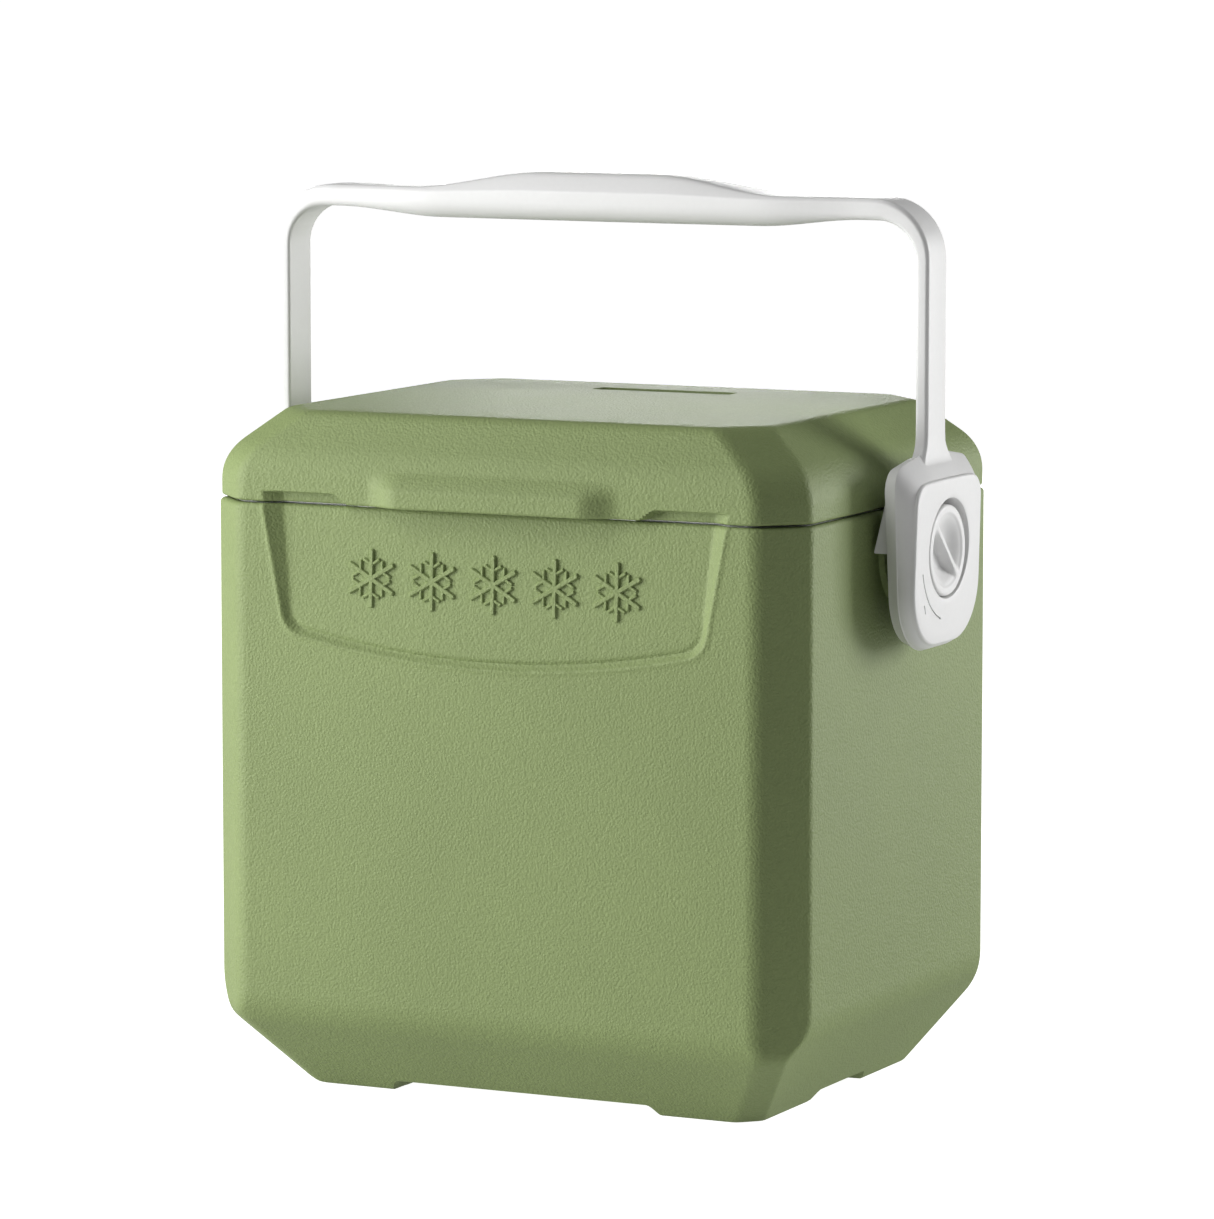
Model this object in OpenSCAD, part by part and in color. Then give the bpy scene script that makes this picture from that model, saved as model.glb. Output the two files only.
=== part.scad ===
// Small insulated cooler chest with a hinged lid, a swing bail handle and
// two turn knobs. Millimetres. X runs left to right seen from the front,
// -Y is the front, +Z is up. The origin is on the floor, midway between
// the two sides and midway between the front and back walls.

/* [Chest] */
// Width of the chest body, side wall to side wall
body_w = 300; // [230:1:380]
// Depth of the chest body, front wall to back wall
body_d = 234; // [190:1:300]
// Height of the body's rim above the floor
rim_z = 274; // [210:1:360]
// Leg of the chamfer on each upright corner
corner_c = 19; // [8:1:24]
// Leg of that chamfer where the corner meets the floor
foot_c = 9; // [6:1:20]
// How far the side walls draw in at the base
side_draw = 34; // [15:1:38]
// Height at which the side walls start to draw in
side_draw_z = 47; // [30:1:60]
// How far the front wall draws in at the base
front_draw = 34; // [15:1:38]
// How far the back wall draws in at the base
back_draw = 24; // [15:1:38]
// Height at which the front and back walls start to draw in
end_draw_z = 38; // [25:1:60]

/* [Walls] */
// Thickness of the moulded outer shell
shell_t = 3; // [2:0.25:4]
// Thickness of the inner liner
liner_t = 2.5; // [1.5:0.25:4]
// Foam between the shell and the liner
foam_t = 18; // [14:0.5:26]

/* [Feet] */
// Height of the arches between the feet
arch_h = 5.5; // [3:0.5:8]
// Width of the front and back arches, at their top
arch_front_w = 120; // [60:1:150]
// Width of the side arches, at their top
arch_side_w = 44; // [24:1:80]
// How far each arch end flares from its top to the floor
arch_flare = 9; // [4:1:14]

/* [Front recess] */
// Distance from the side wall to the recess, at the rim
bib_top_in = 31.5; // [30:0.5:60]
// Distance from the side wall to the recess's lower corners
bib_low_in = 45; // [42:0.5:80]
// Height of the recess, from its lowest point to the rim
bib_h = 70; // [55:1:90]
// Radius of the recess's bottom curve
bib_bottom_r = 460; // [300:10:900]
// Depth of the recess at the rim
bib_depth = 5; // [2:0.25:6]
// Depth of the recess at its bottom
bib_low_depth = 1.6; // [0.8:0.1:3]
// Diameter of one raised ice crystal in the recess
crystal_d = 27; // [16:1:34]
// Distance from one raised ice crystal to the next
crystal_pitch = 31; // [24:1:38]

/* [Lid] */
// Height of the lid's top face above the rim
lid_h = 42; // [34:1:60]
// Gap between the rim and the lid's edge
lid_gap = 1; // [0.8:0.1:3]
// Height of the lid's upright wall
lid_wall_h = 19; // [16:0.5:24]
// How far the lid's side shoulders slope in
lid_side_in = 27; // [12:1:34]
// How far the lid's front and back shoulders slope in
lid_end_in = 17; // [12:1:28]
// How far the lid's insulated plug reaches below the rim
plug_depth = 10; // [6:1:14]
// Clearance between the plug and the liner, all round
plug_clear = 3; // [2:0.25:5]
// Length of the finger lip on the lid's front
lip_len = 122; // [80:1:150]
// How far the finger lip stands out
lip_out = 6; // [4:0.5:9]

/* [Bail] */
// Depth of the bail's pivots below the rim
pivot_down = 19; // [19:0.5:40]
// Height of the grip's crown above the pivots
bail_rise = 167; // [160:1:220]
// Drop from the grip's crown to the top of the bar's ends
crown_drop = 8.5; // [5:0.5:10]
// Gap between the side wall and the bail's hub plate
hub_gap = 9; // [8:0.5:14]
// Thickness of the hub plate
hub_t = 14.5; // [13:0.5:18]
// Width of the hub plate across its shoulders, front to back
hub_w = 86; // [80:1:94]
// Reach of the hub plate below the pivot
hub_down = 45; // [40:1:52]
// Reach of the hub plate's shoulders above the pivot
hub_up = 39; // [36:1:46]
// Thickness of the bail's arms
arm_t = 6.2; // [5:0.2:8]
// Width of the bail's arms, front to back
arm_w = 22; // [16:1:28]
// Thickness of the top bar beside the grip
bar_t = 9.5; // [8:0.5:11]
// Height of the grip's section at its middle
grip_h = 22; // [18:0.5:24]
// Depth of the grip's section, front to back
grip_w = 31; // [24:0.5:34]
// Distance from the side wall to the grip's full section
grip_in = 62; // [60:1:90]
// Diameter of the turn knobs
knob_d = 43.5; // [36:0.5:46]

/* [Pivot] */
// Radius of the axle that the bail turns on
axle_r = 12; // [9:0.5:14]
// Radius of the knob's shank
shank_r = 6; // [4.5:0.5:7]
// Running clearance between a shaft and its bore
run_clear = 0.05; // [0.03:0.01:0.1]
// Radius of a small screw's shank
screw_r = 1.5; // [1.2:0.1:2]

/* [Hinge] */
// Distance from the side wall to the middle of each hinge
hinge_in = 66; // [52:1:80]
// Width of one hinge
hinge_w = 46; // [36:1:60]
// Height of the hinge pin above the rim
pin_up = 10; // [9:0.5:12]
// Radius of the hinge barrel
barrel_r = 4; // [3.2:0.2:5]
// Radius of the hinge pin
pin_r = 1.5; // [1:0.1:2]

/* [Hidden] */

green = [0.46, 0.54, 0.31];
white = [0.93, 0.93, 0.92];
foam_white = [0.95, 0.93, 0.82];
steel = [0.7, 0.71, 0.72];

$fn = 64;
far = 900;              // longer than any side of the chest
skin = 0.1;             // glue line between foam and a moulded wall
seat = 0.4;             // gap between the closed lid and the liner's flange
slack = 0.4;            // gap beside moving faces

half_w = body_w / 2;
half_d = body_d / 2;
wall = shell_t + foam_t + liner_t;
floor_z = arch_h + shell_t;             // top of the shell's floor
tub_z = floor_z + foam_t + liner_t;     // floor of the tub
lid_z = rim_z + lid_gap;
bib_top_hw = half_w - bib_top_in;
bib_low_hw = half_w - bib_low_in;
bib_z = rim_z - bib_h;  // lowest point of the front recess
pivot_z = rim_z - pivot_down;
hinge_x = half_w - hinge_in;
lid_top = rim_z + lid_h;
pin_z = rim_z + pin_up;
corner_blend = 9;       // rounding where a corner's chamfer meets the front and the back
corner_crisp = 4;       // rounding where it meets the sides
knee_r = 12;            // rounding where a body wall starts to draw in
foot_r = 3;             // rounding of the body's lower edge
pocket_wall = 4;        // wall left round a hinge pocket inside the shell
screw_wall = 2.5;       // wall left round a base screw's hole
screw_pad_in = 2.6 * shell_t;   // how far the pads for the base screws reach in
screw_hole_in = 2.3 * shell_t;  // depth of those holes
lid_in = 0.5;           // the lid stands this much inside the body's walls
lid_wall = 3;           // thickness of the lid's shell
lid_skin = 2.2;         // thickness of the lid's inner panel
flange_t = 2.4;         // thickness of the liner's rim flange
hub_x = half_w + hub_gap;
hub_out = hub_x + hub_t;
arm_x = hub_x + 2;      // inner face of the bail's arms
lid_knee_side = 20;     // rounding between the lid's side walls and shoulders
lid_knee_end = 17;      // the same at the front and back
lid_round_side = 10;    // rounding between the side shoulders and the lid's top
lid_round_end = 9;      // the same at the front and back
lip_wall_h = 9;         // height of the finger lip's upright face
lip_h = 16;             // height at which the lip runs out into the lid's wall
notch_len = 44.5;       // length of a notch over an end of the recess
notch_h = 4;
notch_slope = 10;       // run of the notch's sloping inner end
neck_flare = 3.5;       // how much wider the hub's neck is than the arm, each side
bail_out_r = 27;        // outer radius of the bail's upper corners
bail_in_r = 19;
grip_run = 46;          // length over which the bar swells into the grip
grip_round = 8;
hub_taper = 7;          // how much the hub plate narrows to its foot, each side
parting = 6;            // height of the hub plate's parting line over its back
rib_in = 8;             // the rib's distance in from the hub plate's front edge
rib_t = 3;
rib_h = 26;
recess_t = 8;           // depth of the knob's round recess
recess_clear = 1.2;     // gap round the knob in its recess
flange_r = 26;          // radius of the pivot base's flange
base_t = 3;             // thickness of the pivot base's flange
shoulder_r = 15;        // radius of the shoulder that the washer runs against
washer_t = 2;
washer_r = 19;
boss_r = 13;            // radius of the pivot base's boss in the wall
boss_in = 12;           // how far that boss reaches into the wall
socket_clear = 0.2;
end_bore_t = 9;         // bore at the axle's inner end, for the knob screw's head
end_bore_r = 10;
knob_screw_r = 1.9;     // radius of the knob screw's shank
base_screw_pcd = 42;
head_r = 3;             // radius of a small screw's head
head_t = 1.8;
leaf_t = 3;             // thickness of the hinge's body leaf
leaf_drop = 28;         // how far the body leaf reaches below the rim
lid_leaf_t = 2.6;
lid_leaf_down = 6;      // how far the lid leaf reaches below the pin
lid_leaf_h = 21;
lid_screw_up = 10;      // height of the lid leaf's screws above the pin
leaf_screw_up = 9;      // height of the body leaf's screws above its lower edge
pin_head_t = 1.3;
pin_over = 1.5;         // how far the pin stands out at each end
pocket_side = 3;        // room beside a hinge in the lid's pocket
lid_pocket = 7;         // depth of the hinge pocket in the lid's back wall
port_r = 11;            // radius of the foam port in the base
lid_port_r = 7;

// Corner P of a path, rounded to radius r between its neighbours A and B
function unit(v) = v / norm(v);
function turn(a) = a > 180 ? a - 360 : a < -180 ? a + 360 : a;
function corner(a, p, b, r, n) =
    let (u = unit(a - p), v = unit(b - p), half = acos(u * v) / 2)
    let (c = p + unit(u + v) * r / sin(half), s = p + u * r / tan(half) - c)
    let (e = p + v * r / tan(half) - c, from = atan2(s[1], s[0]))
    let (sweep = turn(atan2(e[1], e[0]) - from))
    [for (i = [0:n]) c + r * [cos(from + sweep * i / n), sin(from + sweep * i / n)]];

// A closed path of [x, y, radius] points, with each corner rounded
function rounded(path, n = 4) =
    let (m = len(path), q = [for (p = path) [p[0], p[1]]])
    [for (i = [0:m - 1])
        let (r = path[i][2])
        each (r > 0 ? corner(q[(i + m - 1) % m], q[i], q[(i + 1) % m], r, n) : [q[i]])];

function flip(path) = [for (i = [len(path) - 1:-1:0]) [-path[i][0], path[i][1], path[i][2]]];

// Seen from above: a rectangle with chamfered corners
function plan(w, d, c) = rounded([
    [w - c, -d, corner_blend], [w, c - d, corner_crisp],
    [w, d - c, corner_crisp], [w - c, d, corner_blend],
    [c - w, d, corner_blend], [-w, d - c, corner_crisp],
    [-w, c - d, corner_crisp], [c - w, -d, corner_blend]]);

// Seen from the front or the side: upright walls that draw in at the base
function tub_profile(left, right, drawn_left, drawn_right, draw_z, low, top) = rounded([
    [-left, top, 0], [-left, low + draw_z, knee_r], [drawn_left - left, low, foot_r],
    [right - drawn_right, low, foot_r], [right, low + draw_z, knee_r], [right, top, 0]]);

// The body's outer form, drawn in by inset all round, from z = low up to top
module box_form(inset, low, top) {
    w = half_w - inset;
    d = half_d - inset;
    side = tub_profile(w, w, side_draw, side_draw, side_draw_z, low, top);
    end = tub_profile(d, d, front_draw, back_draw, end_draw_z, low, top);
    difference() {
        intersection() {
            linear_extrude(top) polygon(plan(w, d, corner_c));
            rotate([90, 0, 0]) linear_extrude(far, center = true) polygon(side);
            rotate([90, 0, 90]) linear_extrude(far, center = true) polygon(end);
        }
        for (sx = [-1, 1], sy = [-1, 1]) {
            draw = sy < 0 ? front_draw : back_draw;
            lean = side_draw / side_draw_z + draw / end_draw_z;
            reach = w - side_draw + d - draw - foot_c;
            translate([sx * reach / 2, sy * reach / 2, low])
                rotate([0, atan(lean / sqrt(2)), atan2(sy, sx)])
                    translate([0, -far / 2, -far / 2]) cube(far);
        }
    }
}

// The lid's outer form, drawn in by inset, from z = low up
module lid_form(inset, low) {
    w = half_w - lid_in - inset;
    d = half_d - lid_in - inset;
    top = lid_top - inset;
    knee = lid_z + lid_wall_h - inset / 2;
    rise = top - knee;
    side = rounded([[-w, low, 0], [w, low, 0], [w, knee, lid_knee_side],
        [w - lid_side_in, top, lid_round_side], [lid_side_in - w, top, lid_round_side],
        [-w, knee, lid_knee_side]]);
    end = rounded([[-d, low, 0], [d, low, 0], [d, knee, lid_knee_end],
        [d - lid_end_in, top, lid_round_end], [lid_end_in - d, top, lid_round_end],
        [-d, knee, lid_knee_end]]);
    difference() {
        intersection() {
            translate([0, 0, low]) linear_extrude(top - low) polygon(plan(w, d, corner_c));
            rotate([90, 0, 0]) linear_extrude(far, center = true) polygon(side);
            rotate([90, 0, 90]) linear_extrude(far, center = true) polygon(end);
        }
        for (sx = [-1, 1], sy = [-1, 1]) {
            lean = (lid_side_in + lid_end_in) / rise;
            reach = w - lid_side_in + d - lid_end_in - corner_c;
            translate([sx * reach / 2, sy * reach / 2, top])
                rotate([0, -atan(lean / sqrt(2)), atan2(sy, sx)])
                    translate([0, -far / 2, -far / 2]) cube(far);
        }
    }
}

// Solid round bar along X from x0 to x1, on the side given by s
module bar_x(s, x0, x1, r) {
    translate([s > 0 ? x0 : -x1, 0, 0]) rotate([0, 90, 0]) cylinder(h = x1 - x0, r = r);
}

// Four places round the pivot, for the base's screws
module at_base_screws() {
    for (a = [45:90:315])
        translate([0, base_screw_pcd / 2 * cos(a), base_screw_pcd / 2 * sin(a)]) children();
}

// Outline of the recess in the front wall, widened by grow
function bib_outline(grow) =
    let (r = bib_bottom_r, low = bib_z - grow, hw = bib_low_hw + grow)
    let (side = [[bib_top_hw + grow, rim_z + 9, 0], [hw, low + 10, 9]])
    let (bottom = [for (x = [80:-20:-80]) [x, low + r - sqrt(r * r - x * x), 0]])
    rounded(concat(side, bottom, flip(side)));

// The recess's volume. Its floor leans from its low depth to its full depth.
module bib_cut(grow, deeper) {
    lean = atan((bib_depth - bib_low_depth) / (rim_z - bib_z));
    intersection() {
        translate([0, deeper + bib_depth - half_d, 0])
            rotate([90, 0, 0]) linear_extrude(2 * bib_depth + deeper) polygon(bib_outline(grow));
        translate([0, bib_depth + deeper - half_d, rim_z]) rotate([-lean, 0, 0])
            translate([-half_w, -far, -far / 2]) cube([body_w, far, far]);
    }
}

module ice_crystals() {
    lean = atan((bib_depth - bib_low_depth) / (rim_z - bib_z));
    mid_z = (rim_z + bib_z) / 2 + 3;
    depth = bib_low_depth + (mid_z - bib_z) * tan(lean);
    bar_w = 3;
    raise = 1.2;
    for (i = [-2:2])
        translate([i * crystal_pitch, depth - half_d, mid_z]) rotate([-lean, 0, 0])
            for (a = [0, 60, 120]) rotate([0, a, 0])
                translate([-bar_w / 2, -raise, -crystal_d / 2]) cube([bar_w, raise + 1, crystal_d]);
}

// Arches between the feet, as the volume to take away
module arches() {
    function arch(w) = [[-w / 2 - arch_flare, -1], [w / 2 + arch_flare, -1],
        [w / 2 + arch_flare - 1, arch_h * 0.2], [w / 2, arch_h], [-w / 2, arch_h],
        [1 - w / 2 - arch_flare, arch_h * 0.2]];
    side_mid = (front_draw - back_draw) / 2;
    rotate([90, 0, 0]) linear_extrude(far, center = true) polygon(arch(arch_front_w));
    translate([0, side_mid, 0]) rotate([90, 0, 90])
        linear_extrude(far, center = true) polygon(arch(arch_side_w));
}

// Places of the two hinges
module at_hinges() {
    for (s = [-1, 1]) translate([s * hinge_x, 0, 0]) children();
}

// Places of one hinge's screws in the body leaf, on the back wall
module at_leaf_screws() {
    for (x = [-0.3, 0, 0.3]) translate([x * hinge_w, half_d, rim_z - leaf_drop + leaf_screw_up]) children();
}

// Places of one hinge's screws in the lid leaf
module at_lid_screws() {
    for (x = [-0.28, 0.28])
        translate([x * hinge_w, half_d - lid_pocket + lid_leaf_t, pin_z + lid_screw_up]) children();
}

// ---- body ----

module outer_shell() {
    pocket_d = leaf_t + slack / 2;
    leaf_low = rim_z - leaf_drop - slack;
    color(green) difference() {
        union() {
            difference() {
                box_form(0, 0, rim_z);
                difference() {
                    box_form(shell_t, floor_z, far);
                    bib_cut(shell_t, shell_t);
                    at_hinges() translate([-hinge_w / 2 - pocket_wall,
                            half_d - 2 * shell_t - leaf_t, leaf_low - pocket_wall])
                        cube([hinge_w + 2 * pocket_wall, far, far]);
                    for (s = [-1, 1]) translate([0, 0, pivot_z])
                        bar_x(s, half_w - boss_in - 2 * shell_t, half_w, boss_r + shell_t);
                    for (s = [-1, 1]) translate([0, 0, pivot_z]) at_base_screws()
                        bar_x(s, half_w - screw_pad_in, half_w, screw_r + screw_wall);
                }
            }
            port_boss();
        }
        bib_cut(0, 0);
        arches();
        for (s = [-1, 1]) translate([0, 0, pivot_z]) {
            bar_x(s, half_w - boss_in - shell_t / 2, half_w + 1, boss_r + socket_clear);
            at_base_screws() bar_x(s, half_w - screw_hole_in, half_w + 1, screw_r + run_clear);
        }
        at_hinges() {
            translate([-hinge_w / 2 - slack, half_d - pocket_d, leaf_low])
                cube([hinge_w + 2 * slack, far, far]);
            at_leaf_screws() rotate([90, 0, 0])
                translate([0, 0, -1]) cylinder(h = leaf_t + shell_t + 2, r = screw_r + run_clear);
        }
        translate([0, 0, -1]) cylinder(h = arch_h + 20, r = port_r + run_clear);
    }
    color(green) intersection() {
        ice_crystals();
        bib_cut(0, 0);
    }
}

// The boss round the foam port, on the floor of the shell
module port_boss() {
    translate([0, 0, arch_h]) cylinder(h = 2 * shell_t, r = port_r + shell_t);
}

module inner_liner() {
    inset = shell_t + foam_t;
    color(white) difference() {
        union() {
            box_form(inset, tub_z - liner_t, rim_z);
            translate([0, 0, rim_z - flange_t]) linear_extrude(flange_t)
                polygon(plan(half_w - shell_t - bib_depth - slack,
                    half_d - 2 * shell_t - bib_depth - slack, corner_c));
        }
        box_form(wall, tub_z, rim_z + 1);
    }
}

module foam_core() {
    top = rim_z - flange_t - skin;
    color(foam_white) difference() {
        box_form(shell_t + skin, floor_z + skin, top);
        box_form(shell_t + foam_t - skin, tub_z - liner_t - skin, far);
        bib_cut(shell_t + skin, shell_t + skin);
        at_hinges() translate([-hinge_w / 2 - pocket_wall - skin,
                half_d - 2 * shell_t - leaf_t - skin, rim_z - leaf_drop - slack - pocket_wall - skin])
            cube([hinge_w + 2 * pocket_wall + 2 * skin, far, far]);
        for (s = [-1, 1]) translate([0, 0, pivot_z]) {
            bar_x(s, half_w - boss_in - 2 * shell_t - skin, half_w, boss_r + shell_t + skin);
            at_base_screws() bar_x(s, half_w - screw_pad_in - skin, half_w, screw_r + screw_wall + skin);
        }
        cylinder(h = arch_h + 2 * shell_t + skin, r = port_r + shell_t + skin);
    }
}

module foam_port_plug() {
    color(green) translate([0, 0, arch_h + 0.5]) {
        cylinder(h = shell_t, r = port_r);
        cylinder(h = shell_t + 2, r = port_r - 2);
    }
}

// ---- pivots; s is -1 on the left and +1 on the right ----

module pivot_base(s) {
    color(green) translate([0, 0, pivot_z]) difference() {
        union() {
            bar_x(s, half_w, half_w + base_t, flange_r);
            bar_x(s, half_w - boss_in, half_w + 1, boss_r);
            bar_x(s, half_w, hub_x - washer_t - slack, shoulder_r);
            bar_x(s, half_w, hub_out - recess_t, axle_r);
        }
        bar_x(s, half_w - boss_in - 1, hub_out, shank_r + run_clear);
        bar_x(s, half_w - boss_in - 1, half_w - boss_in + end_bore_t, end_bore_r);
        at_base_screws() bar_x(s, half_w - 1, half_w + base_t + 1, screw_r + run_clear);
        at_base_screws() bar_x(s, half_w + base_t - 1, half_w + base_t + 1, head_r + slack);
    }
}

module base_screws(s) {
    under = half_w + base_t - 1;
    color(steel) translate([0, 0, pivot_z]) at_base_screws() {
        bar_x(s, half_w - 2 * shell_t, under + head_t / 2, screw_r);
        bar_x(s, under, under + head_t, head_r);
    }
}

module pivot_washer(s) {
    color(white) translate([0, 0, pivot_z]) difference() {
        bar_x(s, hub_x - washer_t - slack / 2, hub_x - slack / 2, washer_r);
        bar_x(s, half_w, hub_out, axle_r + run_clear);
    }
}

// ---- hinges; x is the hinge's middle ----

module hinge_body_leaf(x) {
    knuckle = hinge_w / 4;
    color(green) translate([x, 0, 0]) difference() {
        union() {
            translate([-hinge_w / 2, half_d - leaf_t, rim_z - leaf_drop])
                cube([hinge_w, leaf_t, leaf_drop - lid_gap]);
            for (s = [-1, 1]) translate([s > 0 ? hinge_w / 2 - knuckle : -hinge_w / 2, 0, 0]) {
                translate([0, half_d, pin_z]) rotate([0, 90, 0]) cylinder(h = knuckle, r = barrel_r);
                translate([0, half_d - leaf_t, rim_z - 2 * lid_gap])
                    cube([knuckle, leaf_t, pin_up + 2 * lid_gap]);
            }
        }
        translate([-hinge_w, half_d, pin_z]) rotate([0, 90, 0])
            cylinder(h = 2 * hinge_w, r = pin_r + run_clear);
        at_leaf_screws() rotate([90, 0, 0])
            translate([0, 0, -1]) cylinder(h = leaf_t + 2, r = screw_r + run_clear);
    }
}

module hinge_pin(x) {
    pin_l = hinge_w + 2 * pin_over;
    color(steel) translate([x - pin_l / 2, half_d, pin_z]) rotate([0, 90, 0]) {
        cylinder(h = pin_l, r = pin_r);
        cylinder(h = pin_head_t, r = pin_r + 1);
        translate([0, 0, pin_l - pin_head_t]) cylinder(h = pin_head_t, r = pin_r + 1);
    }
}

module hinge_body_screws() {
    color(steel) at_hinges() at_leaf_screws() rotate([90, 0, 0]) {
        cylinder(h = leaf_t + shell_t, r = screw_r);
        translate([0, 0, -head_t]) cylinder(h = head_t, r = head_r);
    }
}

module hinge_lid_leaf(x) {
    knuckle = hinge_w / 2 - 2 * slack;
    back = half_d - lid_pocket;
    color(green) translate([x, 0, 0]) difference() {
        union() {
            translate([-hinge_w / 2, back, pin_z - lid_leaf_down])
                cube([hinge_w, lid_leaf_t, lid_leaf_h]);
            translate([-knuckle / 2, half_d, pin_z]) rotate([0, 90, 0])
                cylinder(h = knuckle, r = barrel_r);
            translate([-knuckle / 2, back, pin_z - 1.5]) cube([knuckle, lid_pocket, 4.5]);
        }
        translate([-hinge_w, half_d, pin_z]) rotate([0, 90, 0])
            cylinder(h = 2 * hinge_w, r = pin_r + run_clear);
        at_lid_screws() rotate([90, 0, 0])
            translate([0, 0, -1]) cylinder(h = lid_leaf_t + 2, r = screw_r + run_clear);
    }
}

module hinge_lid_screws() {
    color(steel) at_hinges() at_lid_screws() rotate([90, 0, 0]) {
        cylinder(h = lid_leaf_t + lid_wall, r = screw_r);
        translate([0, 0, -head_t]) cylinder(h = head_t, r = head_r);
    }
}

// ---- lid ----

// Finger lip along the lid's front edge
module finger_lip() {
    y = half_d - lid_in;
    section = [[-y + 1, lid_z], [-y - lip_out, lid_z], [-y - lip_out, lid_z + lip_wall_h],
        [-y, lid_z + lip_h], [-y + 1, lid_z + lip_h]];
    rotate([90, 0, 90]) linear_extrude(lip_len, center = true) polygon(section);
}

// Notches in the lid's lower edge over the ends of the front recess
module lid_notches(grow) {
    inner = bib_top_hw - notch_len;
    low = [[inner, -1], [bib_top_hw, -1], [bib_top_hw, notch_h], [inner + notch_slope, notch_h]];
    for (m = [0, 1]) mirror([m, 0, 0])
        translate([0, bib_depth - half_d + grow, lid_z]) rotate([90, 0, 0])
            linear_extrude(far) polygon(grow > 0 ? [[inner - 4, -1], [bib_top_hw + 4, -1],
                [bib_top_hw + 4, 9], [inner - 4, 9]] : low);
}

module lid_hinge_pocket(grow) {
    end = hinge_w / 2 + pocket_side + grow;
    at_hinges() translate([-end, half_d - lid_pocket - grow, lid_z - 1])
        cube([2 * end, far, lid_h]);
}

module lid_shell() {
    badge_w = 72;
    badge_d = 12;
    badge_in = 36;
    color(green) difference() {
        union() {
            lid_form(0, lid_z);
            finger_lip();
        }
        difference() {
            lid_form(lid_wall, lid_z - 1);
            lid_notches(lid_wall);
            lid_hinge_pocket(lid_wall);
        }
        lid_notches(0);
        lid_hinge_pocket(0);
        at_hinges() at_lid_screws() rotate([90, 0, 0])
            cylinder(h = lid_leaf_t + 2 * lid_wall, r = screw_r + run_clear);
        translate([0, half_d - lid_end_in - badge_in, lid_top])
            cube([badge_w, badge_d, 2], center = true);
    }
}

module lid_liner() {
    edge = lid_wall + lid_in + skin;
    low = rim_z + seat;
    color(white) difference() {
        union() {
            difference() {
                translate([0, 0, low]) linear_extrude(lid_z + lid_skin - low)
                    polygon(plan(half_w - edge - 1, half_d - edge - 1, corner_c));
                lid_notches(lid_wall + skin);
                lid_hinge_pocket(lid_wall + skin);
            }
            translate([0, 0, rim_z - plug_depth]) linear_extrude(plug_depth + lid_gap + 1)
                polygon(plan(half_w - wall - plug_clear, half_d - wall - plug_clear, corner_c));
        }
        translate([0, 0, rim_z - plug_depth + lid_skin]) linear_extrude(far)
            polygon(plan(half_w - wall - plug_clear - lid_skin,
                half_d - wall - plug_clear - lid_skin, corner_c));
        translate([0, 0, rim_z - plug_depth - 1]) cylinder(h = lid_skin + 2, r = lid_port_r + run_clear);
    }
}

module lid_foam() {
    color(foam_white) difference() {
        union() {
            difference() {
                lid_form(lid_wall + skin, lid_z + lid_skin + skin);
                lid_notches(lid_wall + skin);
                lid_hinge_pocket(lid_wall + skin);
                at_hinges() at_lid_screws() rotate([90, 0, 0])
                    cylinder(h = lid_leaf_t + 3 * lid_wall, r = screw_r + 1);
            }
            translate([0, 0, rim_z - plug_depth + lid_skin + skin])
                linear_extrude(plug_depth + lid_gap + 1)
                    polygon(plan(half_w - wall - plug_clear - lid_skin - skin,
                        half_d - wall - plug_clear - lid_skin - skin, corner_c));
        }
        translate([0, 0, rim_z - plug_depth]) cylinder(h = lid_skin + 2, r = lid_port_r);
    }
}

module lid_port_plug() {
    color(white) translate([0, 0, rim_z - plug_depth]) cylinder(h = lid_skin + 1.5, r = lid_port_r);
}

// ---- bail ----

// The right hub plate, drawn about the pivot: its outline seen from the side,
// then its bevels seen from above and from the front
module hub_plate() {
    neck = arm_w / 2 + neck_flare;
    w = hub_w / 2;
    low_w = w - hub_taper;
    half = [[neck, hub_up + 14, 0], [neck, hub_up + 5, 3], [w, hub_up, 9], [low_w, -hub_down, 29]];
    other = flip([for (i = [1:3]) half[i]]);
    above = [[-w - 1, 0], [w + 1, 0], [w + 1, parting - 1], [low_w, hub_t],
        [-low_w, hub_t], [-w - 1, parting - 1]];
    front = [[-hub_down - 1, 0], [hub_up + 15, 0], [hub_up + 15, parting - 3], [hub_up - 7, hub_t],
        [4 - hub_down, hub_t], [-hub_down - 1, hub_t - 5]];
    intersection() {
        translate([hub_x, 0, 0]) rotate([90, 0, 90])
            linear_extrude(hub_t) polygon(rounded(concat(half, other, [[-neck, hub_up + 14, 0]]), 8));
        translate([hub_x, 0, 0]) rotate([0, 0, -90])
            linear_extrude(far, center = true) polygon(above);
        translate([hub_x, 0, 0]) rotate([90, 0, 0])
            linear_extrude(far, center = true) polygon([for (p = front) [p[1], p[0]]]);
    }
}

// Both arms and the top bar, as one bent strip
module bail_strip() {
    out_x = arm_x + arm_t;
    top = bail_rise - crown_drop;
    outer = rounded([[-out_x, 20, 0], [out_x, 20, 0], [out_x, top, bail_out_r],
        [-out_x, top, bail_out_r]], 8);
    inner = rounded([[-arm_x, 10, 0], [arm_x, 10, 0], [arm_x, top - bar_t, bail_in_r],
        [-arm_x, top - bar_t, bail_in_r]], 8);
    neck = arm_w / 2 + neck_flare;
    neck_z = hub_up + 6;
    half = [[arm_w / 2, top + 1, 0], [arm_w / 2, neck_z + 10, 8], [neck, neck_z - 1, 0], [neck, 15, 0]];
    other = flip(half);
    intersection() {
        rotate([90, 0, 0]) linear_extrude(hub_w, center = true) difference() {
            polygon(outer);
            polygon(inner);
        }
        rotate([90, 0, 90]) linear_extrude(far, center = true) polygon(rounded(concat(half, other)));
    }
}

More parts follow.
